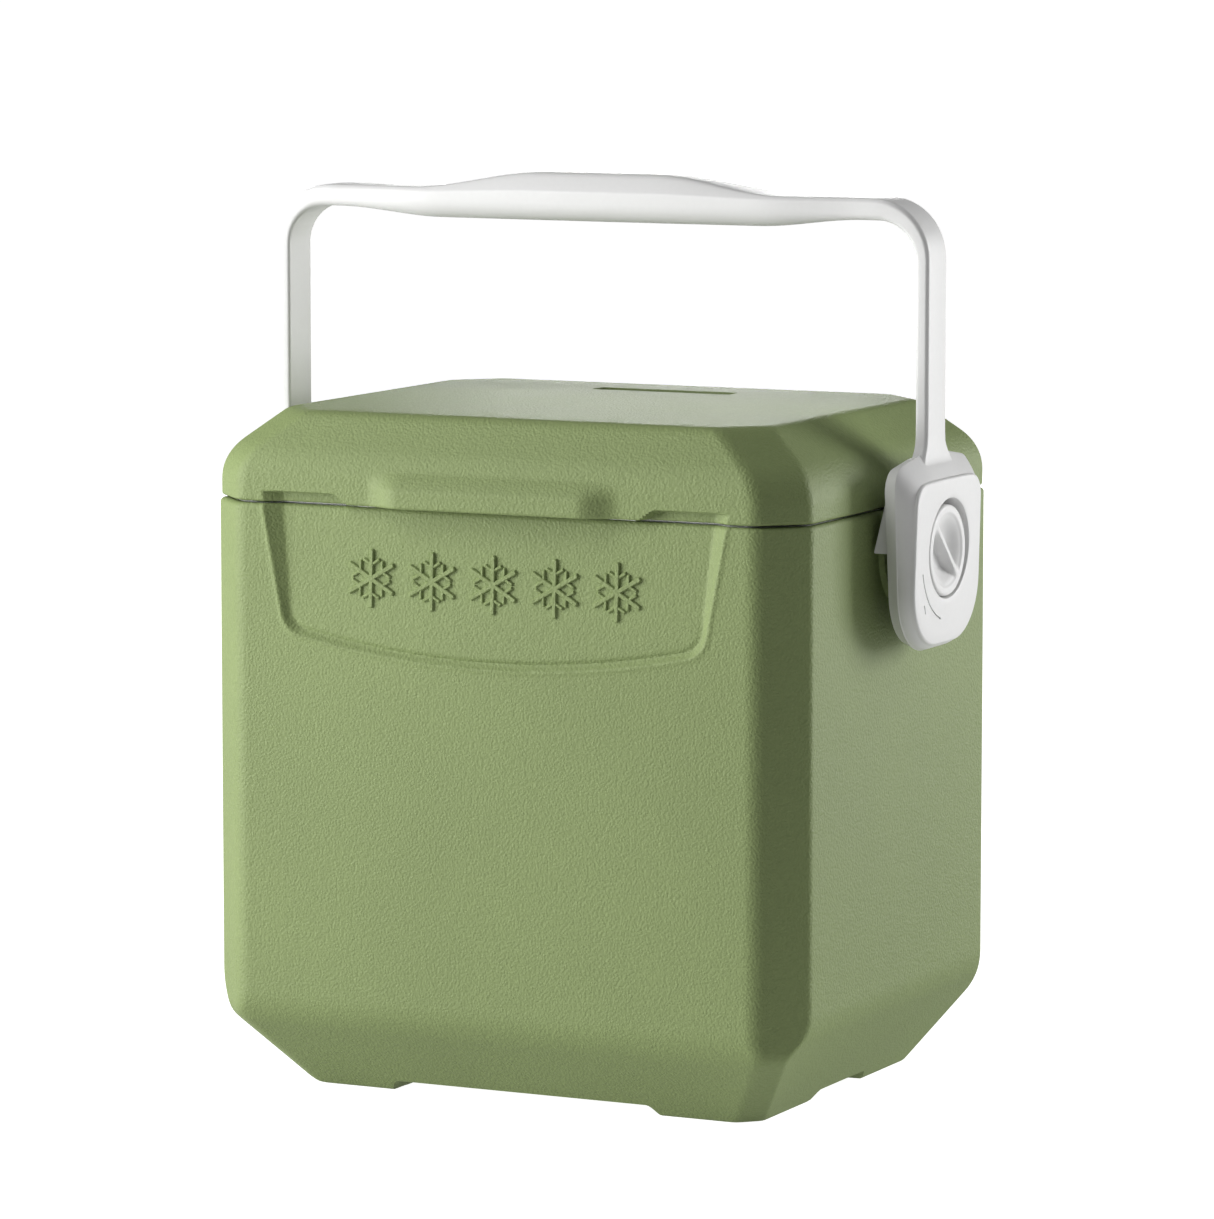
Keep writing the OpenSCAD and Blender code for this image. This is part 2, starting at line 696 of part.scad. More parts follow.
// The thick grip in the middle of the top bar, with its crown as one long arc
module grip() {
    full = half_w - grip_in;
    end = full + grip_run;
    low = bail_rise - crown_drop - bar_t;
    under = bail_rise - grip_h;
    crown_r = (end * end + crown_drop * crown_drop) / (2 * crown_drop);
    crown = [for (x = [-end:end / 8:end]) [x, bail_rise - crown_r + sqrt(crown_r * crown_r - x * x)]];
    section = rounded([[-grip_w / 2, under, grip_round], [grip_w / 2, under, grip_round],
        [grip_w / 2, bail_rise, grip_round], [-grip_w / 2, bail_rise, grip_round]], 5);
    above = [[-end, -arm_w / 2], [-full, -grip_w / 2 - 1], [full, -grip_w / 2 - 1],
        [end, -arm_w / 2], [end, arm_w / 2], [full, grip_w / 2 + 1],
        [-full, grip_w / 2 + 1], [-end, arm_w / 2]];
    intersection() {
        rotate([90, 0, 90]) linear_extrude(2 * end, center = true) polygon(section);
        rotate([90, 0, 0]) linear_extrude(far, center = true)
            polygon(concat(crown, [[end, low], [full, under], [-full, under], [-end, low]]));
        linear_extrude(far) polygon(above);
    }
}

// Tapered rib behind the front edge of each hub plate
module hub_rib() {
    side = [[half_w + 1.5, 1], [hub_x + 1, 1], [hub_x + 1, rib_h], [hub_x - 1.5, rib_h]];
    translate([0, rib_in - hub_w / 2, 0]) rotate([90, 0, 0]) linear_extrude(rib_t) polygon(side);
}

module bail() {
    color(white) translate([0, 0, pivot_z]) difference() {
        union() {
            bail_strip();
            grip();
            for (m = [0, 1]) mirror([m, 0, 0]) {
                hub_plate();
                hub_rib();
            }
        }
        for (s = [-1, 1]) {
            bar_x(s, half_w, hub_out + 1, axle_r + run_clear);
            bar_x(s, hub_out - recess_t, hub_out + 10, knob_d / 2 + recess_clear);
        }
    }
}

// ---- knobs ----

module knob(s) {
    face = hub_out - 0.5;
    under = hub_out - recess_t + slack;
    ridge_t = 5;
    scoop_r = knob_d / 2 - 4;
    color(white) translate([0, 0, pivot_z]) rotate([45, 0, 0]) difference() {
        union() {
            bar_x(s, under, face, knob_d / 2);
            bar_x(s, half_w - boss_in + end_bore_t + 0.5, under + 1, shank_r);
        }
        for (side = [-1, 1]) intersection() {
            translate([0, side * (ridge_t / 2 + far / 2), 0]) cube([far, far, far], center = true);
            bar_x(s, under + 3, face + 1, scoop_r);
        }
        bar_x(s, half_w - boss_in, under - 2, knob_screw_r + run_clear);
    }
}

module knob_screw(s) {
    top = half_w - boss_in + end_bore_t - slack;
    head = 2.5;
    color(steel) translate([0, 0, pivot_z]) {
        bar_x(s, top - head, top, end_bore_r - 1.5);
        bar_x(s, top - 1, top + 14, knob_screw_r);
    }
}

outer_shell();
inner_liner();
foam_core();
foam_port_plug();
pivot_base(-1);  // pivot_base_left
pivot_base(1);  // pivot_base_right
base_screws(-1);  // base_screws_left
base_screws(1);  // base_screws_right
hinge_body_leaf(-hinge_x);  // hinge_body_leaf_left
hinge_body_leaf(hinge_x);  // hinge_body_leaf_right
hinge_pin(-hinge_x);  // hinge_pin_left
hinge_pin(hinge_x);  // hinge_pin_right
hinge_body_screws();
lid_shell();
lid_liner();
lid_foam();
lid_port_plug();
hinge_lid_leaf(-hinge_x);  // hinge_lid_leaf_left
hinge_lid_leaf(hinge_x);  // hinge_lid_leaf_right
hinge_lid_screws();
pivot_washer(-1);  // pivot_washer_left
pivot_washer(1);  // pivot_washer_right
bail();
knob(-1);  // knob_left
knob(1);  // knob_right
knob_screw(-1);  // knob_screw_left
knob_screw(1);  // knob_screw_right
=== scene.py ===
import math

import bpy
import numpy as np
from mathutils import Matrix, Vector


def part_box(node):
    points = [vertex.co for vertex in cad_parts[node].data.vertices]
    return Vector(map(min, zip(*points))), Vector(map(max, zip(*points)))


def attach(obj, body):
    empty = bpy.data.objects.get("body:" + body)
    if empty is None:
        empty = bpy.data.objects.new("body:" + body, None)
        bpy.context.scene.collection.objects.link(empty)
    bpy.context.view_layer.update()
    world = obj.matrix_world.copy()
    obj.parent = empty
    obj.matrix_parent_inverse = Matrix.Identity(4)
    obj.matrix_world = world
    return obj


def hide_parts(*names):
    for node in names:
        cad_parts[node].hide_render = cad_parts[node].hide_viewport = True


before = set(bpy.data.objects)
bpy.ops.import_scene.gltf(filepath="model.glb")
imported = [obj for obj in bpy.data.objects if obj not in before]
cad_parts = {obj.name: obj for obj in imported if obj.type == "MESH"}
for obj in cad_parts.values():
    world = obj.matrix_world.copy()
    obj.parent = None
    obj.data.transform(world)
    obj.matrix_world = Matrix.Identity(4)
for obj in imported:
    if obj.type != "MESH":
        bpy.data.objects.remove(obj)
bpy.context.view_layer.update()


# ---------------------------------------------------------------- chest shell
# The outer box of the chest: one green polypropylene moulding, 3 mm thick, with a
# fine pebble grain from the tool. The front carries a shallow recess with a row of
# raised ice crystals, and the base stands on four feet with arches between them.

SHELL_W, SHELL_D, RIM_Z = [side * 1000 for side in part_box("outer_shell")[1]]
WALL = 3
CORNER = 19
FOOT_CORNER = 9
SIDE_DRAW = (34, 47)
FRONT_DRAW = (34, 38)
BACK_DRAW = (24, 38)
ARCH_HIGH = 5.5
RECESS_TOP = 118.5
RECESS_LOW = 105
RECESS_Z = 204
RECESS_ROUND = 460
RECESS_REACH = 124
ARC_STEPS = 7
GREEN = (0.208, 0.262, 0.108)


def smooth(t):
    t = np.clip(t, 0, 1)
    return t * t * (3 - 2 * t)


def soft_min(a, b, width):
    """The smaller of a and b, with the corner between them rounded over width."""
    h = np.clip(0.5 + (b - a) / (2 * width), 0, 1)
    return b + (a - b) * h - width * h * (1 - h)


def rounded(path, steps=6):
    """A closed path of (x, y, radius) with each corner rounded to its radius."""
    points = []
    for i, (x, y, radius) in enumerate(path):
        p = np.array([x, y], float)
        if not radius:
            points.append(p)
            continue
        u = np.array(path[i - 1][:2], float) - p
        v = np.array(path[(i + 1) % len(path)][:2], float) - p
        u /= np.linalg.norm(u)
        v /= np.linalg.norm(v)
        half = math.acos(np.clip(u @ v, -1, 1)) / 2
        centre = p + (u + v) / np.linalg.norm(u + v) * radius / math.sin(half)
        start = p + u * radius / math.tan(half) - centre
        end = p + v * radius / math.tan(half) - centre
        a = math.atan2(start[1], start[0])
        sweep = (math.atan2(end[1], end[0]) - a + math.pi) % (2 * math.pi) - math.pi
        for k in range(steps + 1):
            t = a + sweep * k / steps
            points.append(centre + radius * np.array([math.cos(t), math.sin(t)]))
    return np.array(points)


def plan_ring(side, front, back, leg_front, leg_back, columns, rows, soft, crisp):
    """One level of a box with chamfered corners, anticlockwise from its front left.
    columns and rows share out the straight runs of the front and back and of the sides."""
    right = [(side - leg_front, -front, soft), (side, leg_front - front, crisp),
             (side, back - leg_back, crisp), (side - leg_back, back, soft)]
    arcs = rounded(right + [(-x, y, r) for x, y, r in right[::-1]], ARC_STEPS)
    arcs = arcs.reshape(8, ARC_STEPS + 1, 2)
    low, high = arcs[1][-1][1], arcs[2][0][1]
    along = low + (high - low) * (rows + 1) / 2
    return np.concatenate([
        np.stack([columns * arcs[0][0][0], np.full(len(columns), -front)], 1), arcs[0][1:], arcs[1],
        np.stack([np.full(len(rows), side), along], 1)[1:-1], arcs[2], arcs[3][:-1],
        np.stack([columns * arcs[3][-1][0], np.full(len(columns), back)], 1)[::-1], arcs[4][1:], arcs[5],
        np.stack([np.full(len(rows), -side), along], 1)[::-1][1:-1], arcs[6], arcs[7][:-1]])


def grid_cap(ring, columns, rows, height):
    """Points and faces that close a plan ring with a grid. height(x, y) is the cap's z."""
    nc, nr = len(columns), len(rows)
    first_row = nc + 2 * ARC_STEPS
    right = [first_row + i for i in range(nr)]
    back = [right[-1] + 2 * ARC_STEPS + 1 + j for j in range(nc)][::-1]
    left = [back[0] + 2 * ARC_STEPS + 1 + i for i in range(nr)][::-1]
    x, y = ring[:nc, 0], ring[right, 1]
    grid = np.array([[a, b, height(a, b)] for b in y for a in x])
    total = len(ring)

    def at(i, j):
        return total + i * nc + j

    cells = [(i, j) for i in range(nr - 1) for j in range(nc - 1)]
    faces = [(at(i, j), at(i, j + 1), at(i + 1, j + 1), at(i + 1, j)) for i, j in cells]
    faces += [(j, j + 1, at(0, j + 1), at(0, j)) for j in range(nc - 1)]
    faces += [(at(nr - 1, j), at(nr - 1, j + 1), back[j + 1], back[j]) for j in range(nc - 1)]
    faces += [(at(i, nc - 1), right[i], right[i + 1], at(i + 1, nc - 1)) for i in range(nr - 1)]
    faces += [(left[i], at(i, 0), at(i + 1, 0), left[i + 1]) for i in range(nr - 1)]
    for a, b, hub in [(nc - 1, right[0], at(0, nc - 1)), (right[-1], back[-1], at(nr - 1, nc - 1)),
                      (back[0], left[-1], at(nr - 1, 0)), (left[0], total, at(0, 0))]:
        faces += [(k, (k + 1) % total, hub) for k in range(a, b)]
    return grid, faces


def wall_inset(z, draw, knee, foot):
    """How far a wall has drawn in at height z: upright, then leaning in by
    draw[0] over the lowest draw[1], with a round knee and a round foot."""
    lean = math.atan2(draw[0], draw[1])
    reach = knee * math.tan(lean / 2)
    toe = foot * math.tan((math.pi / 2 - lean) / 2)
    if z >= draw[1] + reach:
        return 0.0
    if z > draw[1] - reach * math.cos(lean):
        return knee - math.sqrt(knee * knee - (draw[1] + reach - z) ** 2)
    if z > toe * math.cos(lean):
        return (draw[1] - z) * math.tan(lean)
    return draw[0] + toe - math.sqrt(max(0, foot * foot - (foot - z) ** 2))


def solid(rings, low_cap=None, high_cap=None):
    """Points and faces of a closed solid from stacked rings. A cap is (grid, faces), or
    None for one flat face. Cap faces count the ring's own points from 0."""
    count = len(rings[0])
    faces = []
    for k in range(len(rings) - 1):
        low, high = k * count, (k + 1) * count
        for i in range(count):
            j = (i + 1) % count
            faces.append((low + i, low + j, high + j, high + i))
    points = np.concatenate(rings)
    last = len(points) - count
    if low_cap:
        grid, cap = low_cap
        base = len(points) - count
        faces += [tuple(v if v < count else v + base for v in f)[::-1] for f in cap]
        points = np.concatenate([points, grid])
    else:
        faces.append(tuple(range(count))[::-1])
    if high_cap:
        grid, cap = high_cap
        base = len(points) - count
        faces += [tuple(v + last if v < count else v + base for v in f) for f in cap]
        points = np.concatenate([points, grid])
    else:
        faces.append(tuple(range(last, last + count)))
    return points, faces


def mesh_piece(name, points, faces, crease=None):
    """A smooth mesh object from points in millimetres. Its edges are sharp where the
    faces beside them turn by more than crease degrees."""
    mesh = bpy.data.meshes.new(name)
    mesh.from_pydata([tuple(p) for p in np.asarray(points) * 0.001], [], [tuple(f) for f in faces])
    piece = bpy.data.objects.new(name, mesh)
    bpy.context.scene.collection.objects.link(piece)
    return shade(piece, crease)


def shade(piece, crease):
    piece.data.shade_smooth()
    if crease:
        piece.data.set_sharp_from_angle(angle=math.radians(crease))
    return piece


def combine(piece, other, how, crease=None):
    """Cuts other from piece, or unites the two, and removes other."""
    change = piece.modifiers.new("combine", "BOOLEAN")
    change.operation = how
    change.solver = "MANIFOLD"
    change.object = other
    bpy.context.view_layer.update()
    made = piece.evaluated_get(bpy.context.evaluated_depsgraph_get())
    result = bpy.data.meshes.new_from_object(made)
    piece.modifiers.clear()
    result.name = piece.name
    piece.data = result
    bpy.data.objects.remove(other)
    return shade(piece, crease)


def block(name, low, high):
    """A plain box to cut with, from its low and high corners in millimetres."""
    xs, ys, zs = zip(low, high)
    points = [(x, y, z) for z in zs for y in ys for x in xs]
    faces = [(0, 2, 3, 1), (4, 5, 7, 6), (0, 1, 5, 4), (2, 6, 7, 3), (0, 4, 6, 2), (1, 3, 7, 5)]
    return mesh_piece(name, points, faces)


def recess_depth(x, z):
    """Depth of the front recess at (x, z): a floor that leans out towards its foot,
    reached by a slope all round, with a groove at its foot and a fine bead on the outline."""
    x = np.abs(x)
    side = RECESS_LOW + (RECESS_TOP - RECESS_LOW) * (z - RECESS_Z - 10) / (RIM_Z - RECESS_Z)
    below = RECESS_Z + RECESS_ROUND - np.sqrt(RECESS_ROUND ** 2 - x * x)
    inside = soft_min((side - x) * 0.985, (z - below) * np.cos(x / RECESS_ROUND), 8)
    floor = 1.1 + 3.7 * np.clip((z - RECESS_Z) / (RIM_Z - RECESS_Z), 0, 1.1)
    low = smooth((RECESS_Z + 34 - z) / 26)
    floor = floor + 1.1 * low * np.exp(-((inside - 2.6) / 1.2) ** 2)
    depth = np.maximum(soft_min(inside * (0.62 + 0.3 * low), floor, 0.5), 0)
    bead = -0.4 * np.exp(-((inside + 0.6) / 1.1) ** 2)
    return np.where(inside > -5, depth + bead, 0)


def arch_lift(x, y):
    """Height of the arches between the feet over the floor at (x, y)."""
    front = smooth((69 - np.abs(x)) / 9)
    side = smooth((31 - np.abs(y - 5)) / 9)
    return ARCH_HIGH * np.maximum(front, side)


SHELL_COLUMNS = np.concatenate([np.arange(0, 0.73, 0.012), np.arange(0.73, 0.98, 0.006), [0.99, 1]])
SHELL_COLUMNS = np.concatenate([-SHELL_COLUMNS[:0:-1], SHELL_COLUMNS])
SHELL_ROWS = np.linspace(-1, 1, 81)


def shell_level(z, inset=0.0):
    side_in = wall_inset(z, SIDE_DRAW, 24, 4)
    front_in = wall_inset(z, FRONT_DRAW, 24, 4)
    back_in = wall_inset(z, BACK_DRAW, 24, 4)
    leg_front = -soft_min(-FOOT_CORNER, side_in + front_in - CORNER, 4)
    leg_back = -soft_min(-FOOT_CORNER, side_in + back_in - CORNER, 4)
    soft = 7 + 6 * smooth(z / 60)
    ring = plan_ring(SHELL_W - side_in - inset, SHELL_D - front_in - inset, SHELL_D - back_in - inset,
                     leg_front, leg_back, SHELL_COLUMNS, SHELL_ROWS, soft, 5)
    return np.column_stack([ring, np.full(len(ring), float(z))])


def with_recess(ring, least=-1.0):
    """Sets a ring's front back by the recess. A least of 0 leaves out the raised bead."""
    front = (ring[:, 1] < 14 - SHELL_D) & (np.abs(ring[:, 0]) < RECESS_REACH)
    ring[front, 1] += np.maximum(recess_depth(ring[front, 0], ring[front, 2]), least)
    return ring


def shell_outside():
    """The chest's outside. The lowest rings follow the arches, so each point's place is
    read from a fine table of levels at its own lifted height."""
    step = 0.25
    table_z = np.arange(0, 12.6, step)
    table = np.array([shell_level(z) for z in table_z])
    rings = []
    for z in [0, 0.15, 0.5, 1.0, 1.6, 2.3, 3.2, 4.5, 6, 7.5, 9, 10.5]:
        lift = arch_lift(table[0][:, 0], table[0][:, 1])
        on_wall = (np.abs(table[0][:, 1]) > SHELL_D - 42) & (np.abs(table[0][:, 0]) < 100)
        lift = np.where(on_wall, ARCH_HIGH * smooth((69 - np.abs(table[0][:, 0])) / 9), lift)
        lifted = lift + z * (1 - lift / 12)
        k = np.clip(lifted / step, 0, len(table_z) - 2)
        low = k.astype(int)
        part = (k - low)[:, None]
        at = np.arange(len(lift))
        rings.append(table[low, at] * (1 - part) + table[low + 1, at] * part)
    levels = list(np.arange(12, 28, 2)) + list(np.arange(28, 64, 1.5)) + list(np.arange(64, 198, 6.7))
    levels += list(np.arange(198, 222, 0.75)) + list(np.arange(222, 271.5, 1.3))
    rings += [with_recess(shell_level(z)) if z > RECESS_Z - 8 else shell_level(z) for z in levels]
    for a in np.radians([0, 22.5, 45, 67.5, 90]):
        rings.append(with_recess(shell_level(RIM_Z - 2 + 2 * math.sin(a), 2 - 2 * math.cos(a))))
    foot = grid_cap(rings[0], SHELL_COLUMNS, SHELL_ROWS, arch_lift)
    return mesh_piece("chest_shell", *solid(rings, low_cap=foot))


def shell_inside():
    rings = []
    for z in [9, 20, 30, 38, 44, 50, 60, 200, 212, 222, 240, 260, RIM_Z, RIM_Z + 3]:
        ring = shell_level(z, WALL)
        rings.append(with_recess(ring, 0.0) if z > RECESS_Z - 8 else ring)
    return mesh_piece("shell_inside", *solid(rings))


def bar_x(name, x0, x1, y, z, radius, sides=48):
    """A round bar along X to cut or join with."""
    turn = np.arange(sides) * 2 * math.pi / sides
    rings = [np.column_stack([np.full(sides, x), y + radius * np.cos(turn), z + radius * np.sin(turn)])
             for x in (x0, x1)]
    return mesh_piece(name, *solid(rings))


def stroke(start, end, half, high):
    """One raised bar of an ice crystal, from start to end, with bevelled sides. Its
    points are (across, up, out) from the crystal's middle."""
    start, end = np.array(start, float), np.array(end, float)
    long = np.linalg.norm(end - start)
    along = (end - start) / long
    rings = []
    for out, slim in ((-1.5, 0), (0.1, 0), (high - 0.25, 0.35), (high, 0.6)):
        w = half - slim
        bend = w * 0.7
        path = rounded([(-w, -w, bend), (long + w, -w, bend), (long + w, w, bend), (-w, w, bend)], 4)
        flat = start + path[:, :1] * along + path[:, 1:] * np.array([-along[1], along[0]])
        rings.append(np.column_stack([flat, np.full(len(flat), out)]))
    return solid(rings)


CRYSTAL_R = 13.5
CRYSTAL_PITCH = 31
CRYSTAL_Z = 242
BARB_FROM = 6.4
BARB_LONG = 4.2
FLOOR_LEAN = math.radians(2.55)


def ice_crystals():
    crystal = None
    for turn in np.radians(np.arange(30, 390, 60)):
        tip = np.array([math.cos(turn), math.sin(turn)])
        bars = [((0, 0), tip * (CRYSTAL_R - 1.3), 1.3, 1.2)]
        for side in (-1, 1):
            lean = turn + side * math.radians(60)
            barb = tip * BARB_FROM + np.array([math.cos(lean), math.sin(lean)]) * BARB_LONG
            bars.append((tip * BARB_FROM, barb, 0.95, 1.05))
        for bar in bars:
            piece = mesh_piece("crystal_bar", *stroke(*bar))
            if crystal:
                combine(crystal, piece, "UNION")
            else:
                crystal = piece
    flat = np.array([v.co for v in crystal.data.vertices]) * 1000
    shape = [tuple(p.vertices) for p in crystal.data.polygons]
    bpy.data.objects.remove(crystal)
    depth = float(recess_depth(np.zeros(1), np.full(1, float(CRYSTAL_Z)))[0])
    points, faces = [], []
    for k in (-2, -1, 0, 1, 2):
        across, up, out = flat.T
        faces += [tuple(v + len(flat) * (k + 2) for v in f) for f in shape]
        y = depth - SHELL_D + up * math.sin(FLOOR_LEAN) - out * math.cos(FLOOR_LEAN)
        z = CRYSTAL_Z + up * math.cos(FLOOR_LEAN) + out * math.sin(FLOOR_LEAN)
        points.append(np.column_stack([across + k * CRYSTAL_PITCH, y, z]))
    return mesh_piece("ice_crystals", np.concatenate(points), faces)


HINGE_X = 84
PIVOT_Z = RIM_Z - 19
PIVOT_SOCKET_R = 13.25
PORT_R = 11.2


def at_back(name, side, half, deep, foot, top):
    """A block through the back wall where a hinge sits, to cut its pocket with."""
    x = side * HINGE_X
    return block(name, (x - half, SHELL_D - deep, foot), (x + half, 200, top))


chest = shell_outside()
hollow = shell_inside()
for side in (-1, 1):
    combine(hollow, at_back("pocket_wall", side, 27, 7, 240, RIM_Z + 9), "DIFFERENCE")
combine(chest, hollow, "DIFFERENCE")
combine(chest, ice_crystals(), "UNION")
for side in (-1, 1):
    combine(chest, at_back("pocket", side, 23.4, 3.2, 245.6, RIM_Z + 9), "DIFFERENCE")
    ends = sorted((side * (SHELL_W - 6), side * (SHELL_W + 4)))
    combine(chest, bar_x("pivot_socket", *ends, 0, PIVOT_Z, PIVOT_SOCKET_R, 64), "DIFFERENCE")
port = [(PORT_R * math.cos(a), PORT_R * math.sin(a)) for a in np.arange(64) * math.pi / 32]
port = [np.column_stack([port, np.full(64, z)]) for z in (-2.0, 20.0)]
combine(chest, mesh_piece("port", *solid(port)), "DIFFERENCE", crease=38)


class Wire:
    """A value on its way through a material's nodes. Sums and products add Math nodes."""

    def __init__(self, tree, socket=None):
        self.tree = tree
        self.socket = socket

    def node(self, kind, settings, inputs, output=0):
        made = self.tree.nodes.new("ShaderNode" + kind)
        for name, value in settings.items():
            if name != "stops":
                setattr(made, name, value)
                continue
            for place, level in value[2:]:
                made.color_ramp.elements.new(place)
            for stop, (place, level) in zip(made.color_ramp.elements, value):
                stop.position = place
                stop.color = (level, level, level, 1)
        for name, value in inputs.items():
            if isinstance(value, Wire):
                self.tree.links.new(value.socket, made.inputs[name])
            else:
                made.inputs[name].default_value = value
        return Wire(self.tree, made.outputs[output])

    def maths(self, how, a, b):
        return self.node("Math", {"operation": how}, {0: a, 1: b})

    def __add__(self, other):
        return self.maths("ADD", self, other)

    def __sub__(self, other):
        return self.maths("SUBTRACT", self, other)

    def __rsub__(self, other):
        return self.maths("SUBTRACT", other, self)

    def __mul__(self, other):
        return self.maths("MULTIPLY", self, other)

    __radd__ = __add__
    __rmul__ = __mul__

    def feed(self, shader, name):
        self.tree.links.new(self.socket, shader.inputs[name])


def blank(name):
    """A new material, its shader, the place on the piece, and a wire to build from."""
    material = bpy.data.materials.new(name)
    material.use_nodes = True
    shader = material.node_tree.nodes["Principled BSDF"]
    start = Wire(material.node_tree)
    return material, shader, start, start.node("TexCoord", {}, {}, "Object")


def noise(place, scale, detail=2.0, rough=0.5):
    inputs = {"Vector": place, "Scale": scale, "Detail": detail, "Roughness": rough}
    return place.node("TexNoise", {}, inputs)


def mix(amount, a, b, how="MIX"):
    """Colour a turned towards colour b by amount."""
    return amount.node("Mix", {"data_type": "RGBA", "blend_type": how}, {0: amount, 6: a, 7: b}, 2)


def ramp(wire, *stops):
    return wire.node("ValToRGB", {"stops": stops}, {"Fac": wire})


def edges(start, low, high):
    """One along the outer edges that rub, nought on the flats."""
    point = start.node("NewGeometry", {}, {}, "Pointiness")
    return ramp(point, (low, 0.0), (high, 1.0))


def rgba(colour, gain=1.0):
    return tuple(min(1.0, part * gain) for part in colour) + (1.0,)


def moulded(name, colour, rough, grain_size, grain_high, worn, wear=0.35, gloss=0.15, uneven=0.05):
    """A moulded plastic with its tool's grain, uneven colour, and rubbed outer edges.
    grain_size and grain_high are in millimetres."""
    material, shader, start, place = blank(name)
    cloud = noise(place, 9, 3)
    fleck = noise(place, 420, 2)
    tone = mix(ramp(cloud, (0.3, 0.0), (0.7, 1.0)), rgba(colour, 1 - uneven), rgba(colour, 1 + uneven))
    tone = mix(ramp(fleck, (0.35, 0.0), (0.65, 1.0)) * 0.35, tone, rgba(colour, 1 - 2.8 * uneven))
    scuffs = edges(start, 0.52, 0.60) * ramp(noise(place, 55, 4, 0.65), (0.42, 0.0), (0.62, 1.0))
    mix(scuffs * wear, tone, rgba(worn)).feed(shader, "Base Color")
    (rough - 0.05 + cloud * 0.1 + fleck * 0.06 - scuffs * 0.08).feed(shader, "Roughness")
    pebble = place.node("TexVoronoi", {"feature": "SMOOTH_F1"},
                        {"Vector": place, "Scale": 1000 / grain_size, "Smoothness": 0.7}, "Distance")
    height = (1 - pebble) + noise(place, 2200 / grain_size, 2) * 0.5
    bump = start.node("Bump", {}, {"Strength": 1.0, "Distance": grain_high * 0.001, "Height": height})
    bump.feed(shader, "Normal")
    shader.inputs["Specular IOR Level"].default_value = gloss
    return material


def finish_piece(piece, body, slot, material, *nodes):
    """Gives a piece its material and body, in place of the CAD nodes it stands for. The slot is not used.
    """
    piece.data.materials.clear()
    piece.data.materials.append(material)
    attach(piece, body)
    if nodes:
        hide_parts(*nodes)


green_shell = moulded("green_pebble_shell", GREEN, 0.52, 1.2, 0.25, (0.34, 0.41, 0.20), 0.35, 0.22)
finish_piece(chest, "chest", "shell_plastic", green_shell, "outer_shell")


# ------------------------------------------------------------------- inside
# The white tub and the lid's white inner panel, each a smooth moulding, with rigid foam
# poured between them and the green shells through ports that plugs close.

LINER = (0.80, 0.81, 0.79)
FOAM = (0.82, 0.74, 0.53)
white_liner = moulded("white_liner", LINER, 0.30, 2.2, 0.008, (0.70, 0.71, 0.70), 0.3, 0.35, 0.016)


def foam_material():
    """Rigid foam: cream, matt, with fine cells and darker voids."""
    material, shader, start, place = blank("cream_foam")
    cells = place.node("TexVoronoi", {}, {"Vector": place, "Scale": 650}, "Distance")
    voids = ramp(noise(place, 120, 3), (0.60, 0.0), (0.72, 1.0))
    tone = mix(cells, rgba(FOAM, 0.86), rgba(FOAM, 1.05))
    mix(voids * 0.5, tone, rgba(FOAM, 0.6)).feed(shader, "Base Color")
    (0.88 + cells * 0.08).feed(shader, "Roughness")
    bump = start.node("Bump", {}, {"Strength": 1.0, "Distance": 0.0006, "Height": cells - voids})
    bump.feed(shader, "Normal")
    return material


def cad_finish(material, *names):
    """Gives CAD nodes that are shown as they are a material."""
    for name in names:
        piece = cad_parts[name]
        piece.data.materials.clear()
        piece.data.materials.append(material)


TUB_Z = 29
LINER_T = 2.5
TUB_IN = 23.5
TUB_ROUND = 8
MOUTH_ROUND = 1.8
FLANGE_T = 2.4


def tub_level(z, inset, low):
    """A level of the tub: the chest's own form, drawn in by inset and raised to low."""
    ring = shell_level(max(z - low, 0), inset)
    ring[:, 2] = z
    return ring


def tub_outside():
    low = TUB_Z - LINER_T
    inset = TUB_IN - LINER_T
    under = RIM_Z - FLANGE_T
    levels = [low, low + 1.5, low + 4, 32, 38, 46, 54, 60, 66, 72, 78, 86, 94, 180, under]
    rings = [tub_level(z, inset, low) for z in levels]
    for z, back in ((under, 0.5), (under + 0.5, 0), (RIM_Z - 0.6, 0), (RIM_Z - 0.2, 0.3), (RIM_Z, 0.8)):
        rings.append(with_recess(shell_level(z, WALL + 0.35 + back), 0.0))
    return mesh_piece("tub_liner", *solid(rings))


def tub_inside():
    rings = []
    for a in np.radians([0, 18, 36, 54, 72, 90]):
        z = TUB_Z + TUB_ROUND * (1 - math.cos(a))
        rings.append(tub_level(z, TUB_IN + TUB_ROUND * (1 - math.sin(a)), TUB_Z))
    rings += [tub_level(z, TUB_IN, TUB_Z) for z in np.arange(42, 100, 4)]
    rings.append(tub_level(200, TUB_IN, TUB_Z))
    for a in np.radians([0, 30, 60, 90]):
        z = RIM_Z - MOUTH_ROUND * (1 - math.sin(a))
        rings.append(tub_level(z, TUB_IN - MOUTH_ROUND * (1 - math.cos(a)), TUB_Z))
    rings.append(tub_level(RIM_Z + 1, TUB_IN - MOUTH_ROUND, TUB_Z))
    return mesh_piece("tub_hollow", *solid(rings))


liner = tub_outside()
for side in (-1, 1):
    combine(liner, at_back("hinge_room", side, 27.5, 7.5, 262, RIM_Z + 9), "DIFFERENCE")
combine(liner, tub_inside(), "DIFFERENCE", crease=40)
finish_piece(liner, "chest", "liner_plastic", white_liner, "inner_liner")
cad_finish(white_liner, "lid_liner", "lid_port_plug")
cad_finish(foam_material(), "foam_core", "lid_foam")
cad_finish(green_shell, "foam_port_plug")


# ------------------------------------------------------------ pivots, hinges
# Green flanged axles screwed to the side walls, white washers, green nylon hinge leaves on
# steel pins, and zinc-plated screws.

